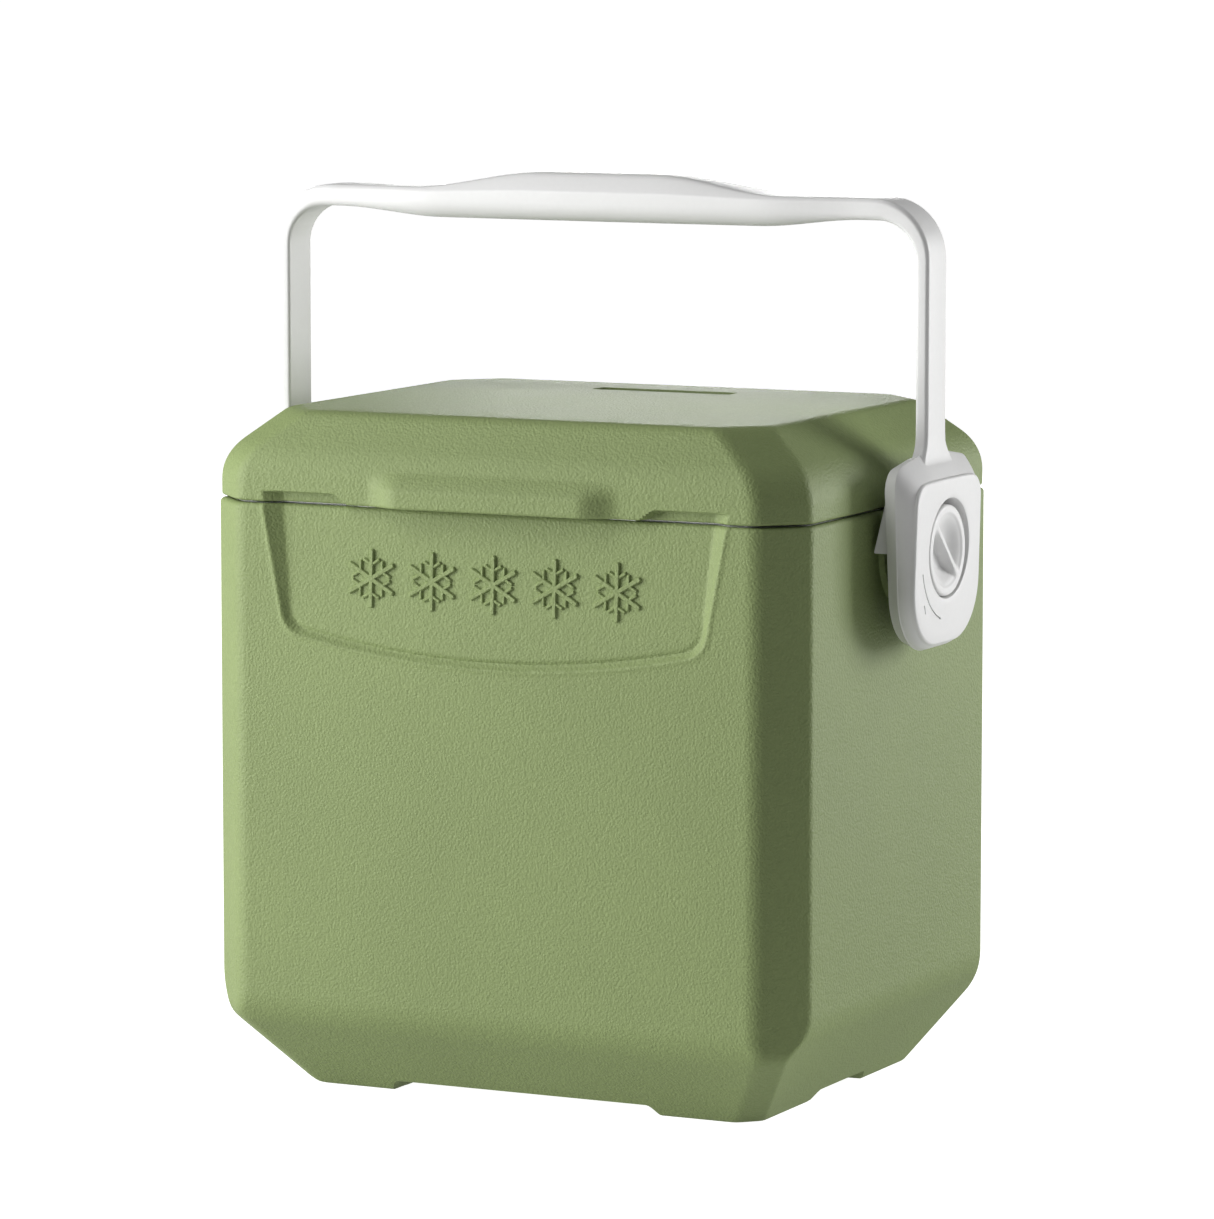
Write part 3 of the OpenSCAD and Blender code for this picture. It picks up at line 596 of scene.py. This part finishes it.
WHITE = (0.68, 0.68, 0.675)
white_plastic = moulded("white_handle", WHITE, 0.38, 2.4, 0.002, (0.62, 0.62, 0.61), 0.25, 0.22, 0.012)
hinge_green = moulded("green_hinge", (0.195, 0.260, 0.084), 0.42, 1.6, 0.02, (0.34, 0.41, 0.20))


def steel_material():
    """Zinc-plated steel: grey, brushed round, with a cloudy passivated film."""
    material, shader, start, place = blank("zinc_steel")
    film = noise(place, 160, 3)
    scratch = noise(place, 2600, 2)
    mix(film, (0.50, 0.51, 0.52, 1), (0.68, 0.68, 0.66, 1)).feed(shader, "Base Color")
    (0.26 + film * 0.14 + scratch * 0.12).feed(shader, "Roughness")
    bump = start.node("Bump", {}, {"Strength": 1.0, "Distance": 0.00002, "Height": scratch})
    bump.feed(shader, "Normal")
    shader.inputs["Metallic"].default_value = 1.0
    return material


cad_finish(green_shell, "pivot_base_left", "pivot_base_right")
cad_finish(white_plastic, "pivot_washer_left", "pivot_washer_right")
cad_finish(hinge_green, "hinge_body_leaf_left", "hinge_body_leaf_right",
           "hinge_lid_leaf_left", "hinge_lid_leaf_right")
cad_finish(steel_material(), "base_screws_left", "base_screws_right", "hinge_pin_left", "hinge_pin_right",
           "hinge_body_screws", "hinge_lid_screws", "knob_screw_left", "knob_screw_right")


# ----------------------------------------------------------------- lid shell
# The lid's top is the same green moulding as the chest: upright walls, broad sloping
# shoulders and a flat top, with a finger lip along its front edge, a notch over each
# end of the front recess, and a shallow bar sunk in the top. The hinges sit in pockets.

LID_Z = RIM_Z + 0.9
LID_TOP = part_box("lid_shell")[1].z * 1000
LID_W = SHELL_W - 0.5
LID_D = SHELL_D - 0.5
SIDE_SLOPE = (27, 22)
END_SLOPE = (17, 22)
LID_WALL = 3
LID_FOOT_ROUND = 1.2
LID_TOP_ROUND = 9
LIP_OUT = 6
LIP_HALF = 64
NOTCH_HIGH = 4.6
NOTCH_X = 74.5
BAR_CUT = 1


def lid_level(z, inset=0.0):
    down = LID_TOP - z
    side_in = wall_inset(down, SIDE_SLOPE, 26, LID_TOP_ROUND)
    end_in = wall_inset(down, END_SLOPE, 24, LID_TOP_ROUND)
    ring = plan_ring(LID_W - side_in - inset, LID_D - end_in - inset, LID_D - end_in - inset,
                     CORNER, CORNER, SHELL_COLUMNS, SHELL_ROWS, 11, 6)
    return np.column_stack([ring, np.full(len(ring), float(z))])


def lip_stand(x, z):
    """How far the finger lip stands out of the front wall at (x, z)."""
    x = np.abs(x)
    up = z - LID_Z
    ends = smooth((LIP_HALF - x) / 19)
    slope = soft_min(7.2 - (up - 7.0) * 0.78, LIP_OUT, 1.0)
    return np.maximum(slope, 0) * ends


def notch_depth(x, z):
    """How far the lid's foot is set back over each end of the front recess."""
    ax = np.abs(x)
    roof = soft_min(NOTCH_HIGH - (z - LID_Z), (ax - NOTCH_X) * 0.7 - (z - LID_Z), 0.6)
    deep = np.maximum(recess_depth(x, np.minimum(z, RIM_Z + 5)), 0)
    return deep * smooth(roof / 0.7 + 0.5)


def shape_front(ring):
    front = (ring[:, 1] < 10 - LID_D) & (np.abs(ring[:, 0]) < RECESS_REACH)
    x, z = ring[front, 0], ring[front, 2]
    ring[front, 1] += notch_depth(x, z) - lip_stand(x, z)
    return ring


def lid_outside():
    rings = []
    for a in np.radians([90, 60, 30, 0]):
        z = LID_Z + LID_FOOT_ROUND * (1 - math.sin(a))
        rings.append(shape_front(lid_level(z, LID_FOOT_ROUND * (1 - math.cos(a)))))
    levels = list(np.arange(LID_Z + 1.8, LID_Z + 9.4, 0.5))
    levels += list(np.arange(LID_Z + 10, LID_TOP - 2.4, 1.1))
    rings += [shape_front(lid_level(z)) for z in levels]
    for a in np.radians([36, 28, 20, 12, 5, 0]):
        rings.append(lid_level(LID_TOP - LID_TOP_ROUND * (1 - math.cos(a))))
    top = grid_cap(rings[-1], SHELL_COLUMNS, SHELL_ROWS, lambda x, y: LID_TOP)
    return mesh_piece("lid_shell_looks", *solid(rings, high_cap=top))


def lid_inside():
    levels = [LID_Z + 2, LID_Z + 6, LID_Z + 10, 292, 296, 300, 304, 308, 311]
    rings = [lid_level(z + LID_WALL, LID_WALL) for z in levels]
    rings = [np.column_stack([ring[:, :2], ring[:, 2] - LID_WALL]) for ring in rings]
    rings.insert(0, np.column_stack([rings[0][:, :2], np.full(len(rings[0]), LID_Z - 3)]))
    for ring in rings:
        front = ring[:, 1] < 4 - LID_D
        ring[front, 1] = np.maximum(ring[front, 1], 8.5 - LID_D)
    return mesh_piece("lid_inside", *solid(rings))


def rounded_slab(name, path, z0, z1):
    outline = rounded(path, 8)
    rings = [np.column_stack([outline, np.full(len(outline), z)]) for z in (z0, z1)]
    return mesh_piece(name, *solid(rings))


lid = lid_outside()
hollow = lid_inside()
for side in (-1, 1):
    combine(hollow, at_back("pocket_wall", side, 29, 10.5, LID_Z - 9, LID_TOP + 9), "DIFFERENCE")
combine(lid, hollow, "DIFFERENCE")
for side in (-1, 1):
    combine(lid, at_back("pocket", side, 26, 7, LID_Z - 9, LID_TOP + 9), "DIFFERENCE")
bar = [(-36, 58, 2), (36, 58, 2), (36, 70, 2), (-36, 70, 2)]
combine(lid, rounded_slab("bar_cut", bar, LID_TOP - BAR_CUT, LID_TOP + 2), "DIFFERENCE", crease=38)
finish_piece(lid, "lid", "shell_plastic", green_shell, "lid_shell")


# ---------------------------------------------------------------------- bail
# The white carrying handle, one moulding: a thick crowned grip, two flat arms, and a hub
# plate at the foot of each arm that turns on the chest's pivot. A round recess in each
# hub holds the turn knob, and a short arc with a tick beside it is sunk in its face.

HUB_X = SHELL_W + 9
HUB_FACE = 173.2
FACE_LEAN = 0.028
PARTING_X = 165
ARM_X = (161, 167.2)
ARM_HALF = 11
BEND_OUT = 27
BEND_IN = 19
BAR_TOP = 414
BAR_FOOT = 404
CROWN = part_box("bail")[1].z * 1000
GRIP_FOOT = 400


def strip_section(outer, inner, depth, shoulder, top, top_round, low_round):
    """One rounded section of the bail between an outer and an inner point (x, z). It is
    2 * depth wide, and narrows over its shoulder to 2 * top at the outer face."""
    outer, inner = np.array(outer, float), np.array(inner, float)
    thick = np.linalg.norm(outer - inner)
    along = (outer - inner) / thick
    near = [(thick, top, top_round), (thick - shoulder, depth, min(top_round, 2)), (0, depth, low_round)]
    path = rounded(near + [(up, -across, r) for up, across, r in near[::-1]], 5)
    xz = inner + path[:, :1] * along
    return np.column_stack([xz[:, 0], path[:, 1], xz[:, 1]])


def bail_strip():
    half = []
    foot = [(284, 171, 18), (288, 170.6, 18.6), (292, 169.2, 18), (295, 168.2, 16.8), (297.5, 167.7, 15.2),
            (299.5, 167.45, 13.8), (301.5, 167.3, 12.5), (304, 167.2, 11.5), (308, 167.2, 11)]
    for z, out, depth in foot:
        half.append(((out, z), (ARM_X[0], z), depth, 1.3, depth - 1.3, 1.4, 1.6))
    for z in (330, 355, 380):
        half.append(((ARM_X[1], z), (ARM_X[0], z), ARM_HALF, 1.3, ARM_HALF - 1.3, 1.4, 1.6))
    for a in np.radians(np.linspace(0, 90, 13)):
        right, up = 1 - math.cos(a), 1 - math.sin(a)
        out = (ARM_X[1] - BEND_OUT * right, BAR_TOP - BEND_OUT * up)
        into = (ARM_X[0] - BEND_IN * right, BAR_FOOT - BEND_IN * up)
        half.append((out, into, ARM_HALF + 0.6 * a, 1.3 + 0.4 * a, ARM_HALF - 1.3, 1.4 + a, 1.6 + a))
    for x in np.linspace(134, 0, 40):
        t = smooth((134 - x) / 52)
        crown = smooth((95 - x) / 66)
        top = BAR_TOP + (CROWN - BAR_TOP) * crown
        under = BAR_FOOT + (GRIP_FOOT - BAR_FOOT) * t - 0.25 * t * math.cos(x / 90)
        depth = 11.9 + 3.6 * t
        half.append(((x, top), (x, under), depth, 1.9 + 6.6 * crown, depth - 2.2 - 6.3 * crown,
                     3 + 5 * crown, 3.2 + 5.4 * t))
    full = half + [((-o[0], o[1]), (-i[0], i[1]), *rest) for o, i, *rest in half[-2::-1]]
    return mesh_piece("bail_handle", *solid([strip_section(*s) for s in full]))


RAYS = np.arange(168) * 2 * math.pi / 168 + 0.01
HUB_BORE = 12.05
WELL_DEEP = 7.6
WELL_MIDDLE = (1.2, 0.9)
FACE_ROUND = 1.5


def radial(path):
    """Distance from the pivot to a closed outline along each ray."""
    outline = rounded(path, 10)
    edge = np.roll(outline, -1, 0) - outline
    found = []
    for c, s in zip(np.cos(RAYS), np.sin(RAYS)):
        cross = c * edge[:, 1] - s * edge[:, 0]
        with np.errstate(divide="ignore", invalid="ignore"):
            far = (outline[:, 0] * edge[:, 1] - outline[:, 1] * edge[:, 0]) / cross
            part = (outline[:, 0] * s - outline[:, 1] * c) / cross
        hit = (far > 0) & (part >= -1e-9) & (part <= 1 + 1e-9)
        found.append(far[hit].max())
    return np.array(found)


def mirrored(half):
    return half + [(-y, z, r) for y, z, r in half[::-1]]


def hub(side):
    parting = radial(mirrored([(14.5, 44, 2), (43, 39.5, 10), (37, -45, 29)]))
    back = radial(mirrored([(14, 42.5, 2), (41.5, 38, 10), (33.5, -43, 27)]))
    face = radial(mirrored([(20, 32, 3), (36, 31.2, 10), (36.6, -41, 26)]))

    def ring(radius, x, lean=0.0, middle=(0, 0)):
        y, z = middle[0] + radius * np.cos(RAYS), middle[1] + radius * np.sin(RAYS)
        return np.column_stack([side * (x + lean * z), y, PIVOT_Z + z])

    rings = [ring(np.full(len(RAYS), HUB_BORE), HUB_X), ring(back - 9, HUB_X), ring(back - 1, HUB_X)]
    rings += [ring(back - 0.3, HUB_X + 0.3), ring(back, HUB_X + 1)]
    for t in (0.4, 0.8, 1.0):
        rings.append(ring(back + (parting - back) * t, HUB_X + 1 + (PARTING_X - HUB_X - 1) * t))
    rings.append(ring(parting - 0.25, PARTING_X + 0.35))
    shoulder = face + 1.3
    for t in (0.12, 0.3, 0.5, 0.7, 0.88, 1.0):
        bulge = 0.54 * math.sin(math.pi * t)
        x = PARTING_X + 0.35 + (HUB_FACE - FACE_ROUND - PARTING_X - 0.35) * t
        rings.append(ring(parting - 0.25 + (shoulder - parting + 0.25) * t + bulge, x, FACE_LEAN * t))
    for a in np.radians([22, 45, 68, 90]):
        x = HUB_FACE - FACE_ROUND * (1 - math.sin(a))
        rings.append(ring(face + 1.3 * math.cos(a), x, FACE_LEAN))
    for t in (0.25, 0.6, 0.9):
        middle = (WELL_MIDDLE[0] * t, WELL_MIDDLE[1] * t)
        rings.append(ring(face * (1 - t) + 24.2 * t, HUB_FACE, FACE_LEAN, middle))
    for out, down in ((23.6, 0), (23.1, 0.15), (22.8, 0.6), (22.6, 2.5), (22.5, 6.5)):
        rings.append(ring(out, HUB_FACE - down, FACE_LEAN, WELL_MIDDLE))
    rings.append(ring(22.0, HUB_FACE - WELL_DEEP, 0, (1.0, 0.7)))
    rings.append(ring(12.6, HUB_FACE - WELL_DEEP - 0.1))
    rings.append(ring(HUB_BORE, HUB_FACE - WELL_DEEP + 0.4))
    count = len(RAYS)
    points = np.concatenate(rings)
    faces = []
    for k in range(len(rings)):
        a, b = k * count, (k + 1) % len(rings) * count
        for i in range(count):
            j = (i + 1) % count
            quad = (a + i, a + j, b + j, b + i)
            faces.append(quad if side > 0 else quad[::-1])
    return mesh_piece("hub", points, faces)


def hub_mark(side, radius, start, end, width):
    """A thin curved bar along an arc about the pivot, to sink into the hub's face."""
    turn = np.radians(np.linspace(start, end, 24))
    grow = radius + (np.linspace(0, 1, 24) ** 2) * 1.6
    around = np.column_stack([np.cos(turn), np.sin(turn)])
    outer = around * (grow + width / 2)[:, None]
    inner = around * (grow - width / 2)[:, None]
    path = np.concatenate([outer, inner[::-1]])
    rings = []
    for x in (HUB_FACE - 0.7, HUB_FACE + 2):
        rings.append(np.array([(side * (x + FACE_LEAN * z), y, PIVOT_Z + z) for y, z in path]))
    if side < 0:
        rings = rings[::-1]
    return mesh_piece("mark", *solid(rings))


def hub_rib(side):
    path = rounded([(151.7, 1, 0.6), (162, 1, 0), (162, 27, 0), (158, 27, 0.8)], 4)
    rings = [np.column_stack([side * path[:, 0], np.full(len(path), y), PIVOT_Z + path[:, 1]])
             for y in (-35, -32)]
    return mesh_piece("rib", *solid(rings if side < 0 else rings[::-1]))


bail = bail_strip()
for side in (-1, 1):
    combine(bail, hub(side), "UNION")
    combine(bail, hub_rib(side), "UNION")
    combine(bail, hub_mark(side, 29.6, 196, 258, 0.9), "DIFFERENCE")
    combine(bail, hub_mark(side, 34.4, 221, 228, 0.9), "DIFFERENCE", crease=34)
finish_piece(bail, "bail", "handle_plastic", white_plastic, "bail")


# --------------------------------------------------------------------- knobs
# The two white turn knobs that hold the bail on: a disc with a finger ridge between
# two scoops, and a shank that a screw inside the chest's wall keeps in the pivot.

KNOB_R = 20.8
KNOB_FACE = 173
KNOB_ROUND = 1.2


def knob(side):
    """Points and faces of one knob. The finger ridge runs at 45 degrees."""
    sides = 120
    turn = np.arange(sides) * 2 * math.pi / sides
    ridge = np.array([-math.sqrt(0.5), math.sqrt(0.5)])
    rings = []
    radii = list(np.linspace(0.4, 16, 30))
    radii += [16.5, 17, 17.5, 18, 18.8, 19.4, 19.9, 20.3, 20.6, 20.78, KNOB_R]
    for r in radii:
        y, z = r * np.cos(turn), r * np.sin(turn)
        aside = np.abs(y * ridge[1] - z * ridge[0])
        bowl = 4.6 * (1 - smooth((r - 7.5) / 9.8)) + 0.5 * smooth((17.3 - r) / 1.2)
        down = bowl * smooth((aside - 0.9) / 2.0)
        edge = KNOB_ROUND - math.sqrt(max(0, KNOB_ROUND ** 2 - max(0, r - KNOB_R + KNOB_ROUND) ** 2))
        rings.append(np.column_stack([KNOB_FACE - down - edge, y, z]))
    shank = ((KNOB_R, 168), (KNOB_R - 0.5, 166.2), (6.6, 166), (6, 165.5), (6, 148.5), (5.4, 147.6))
    for r, x in shank:
        rings.append(np.column_stack([np.full(sides, x), r * np.cos(turn), r * np.sin(turn)]))
    rings = [np.column_stack([side * ring[:, 0], ring[:, 1], ring[:, 2] + PIVOT_Z]) for ring in rings]
    return solid(rings if side < 0 else rings[::-1])


for side, name in ((-1, "knob_left"), (1, "knob_right")):
    turned = mesh_piece("turn_" + name, *knob(side), crease=42)
    finish_piece(turned, name, "handle_plastic", white_plastic, name)


# -------------------------------------------------------- camera, light, floor
# A studio view from the front right, a little above the chest, on white paper. The paper
# and the sky look white, but light the chest only dimly, so the softboxes shape it.

def area_light(name, spot, target, width, height, power):
    data = bpy.data.lights.new(name, "AREA")
    data.shape = "RECTANGLE"
    data.size = width
    data.size_y = height
    data.energy = power
    lamp = bpy.data.objects.new(name, data)
    lamp.location = spot
    lamp.rotation_euler = (Vector(target) - Vector(spot)).to_track_quat("-Z", "Y").to_euler()
    bpy.context.scene.collection.objects.link(lamp)


area_light("front_softbox", (-1.52, -1.06, 0.32), (0, 0, 0.20), 1.0, 1.2, 54)
area_light("side_softbox", (1.30, 1.24, 0.48), (0, 0, 0.2), 0.8, 0.9, 27)
area_light("back_softbox", (-1.15, 2.6, 0.62), (0, 0, 0.3), 0.6, 0.7, 17)
area_light("top_softbox", (-0.9, -1.0, 1.6), (0, 0, 0.3), 0.9, 0.9, 18)
area_light("high_softbox", (1.15, 0.55, 1.35), (0, 0, 0.3), 0.6, 0.6, 3)

view = bpy.data.cameras.new("camera")
view.lens = 182.4
view.sensor_width = 36
view.clip_end = 50
camera = bpy.data.objects.new("camera", view)
camera.location = (1.25925, -2.56497, 0.56513)
ahead = Vector((-0.43723, 0.89126, -0.12035))
camera.rotation_euler = ahead.to_track_quat("-Z", "Y").to_euler()
bpy.context.scene.collection.objects.link(camera)
bpy.context.scene.camera = camera

paper = bpy.data.meshes.new("paper")
paper.from_pydata([(-90, -90, 0), (90, -90, 0), (90, 90, 0), (-90, 90, 0)], [], [(0, 1, 2, 3)])
floor = bpy.data.objects.new("paper", paper)
bpy.context.scene.collection.objects.link(floor)
sheet, shader, start, place = blank("white_paper")
mix(noise(place, 40, 2), rgba((0.50, 0.50, 0.50)), rgba((0.53, 0.53, 0.53))).feed(shader, "Base Color")
shader.inputs["Roughness"].default_value = 1.0
shader.inputs["Specular IOR Level"].default_value = 0.0
shader.inputs["Emission Strength"].default_value = 1.0
bare = start.node("LightPath", {}, {}, "Is Camera Ray")
mix(bare, rgba((0.33, 0.33, 0.33)), rgba((1, 1, 1))).feed(shader, "Emission Color")
paper.materials.append(sheet)

world = bpy.data.worlds.new("studio")
bpy.context.scene.world = world
world.use_nodes = True
sky = Wire(world.node_tree)
seen = sky.node("LightPath", {}, {}, "Is Camera Ray")
(0.06 + seen * 0.96).feed(world.node_tree.nodes["Background"], "Strength")
world.node_tree.nodes["Background"].inputs["Color"].default_value = (1, 1, 1, 1)
bpy.context.scene.view_settings.view_transform = "Standard"
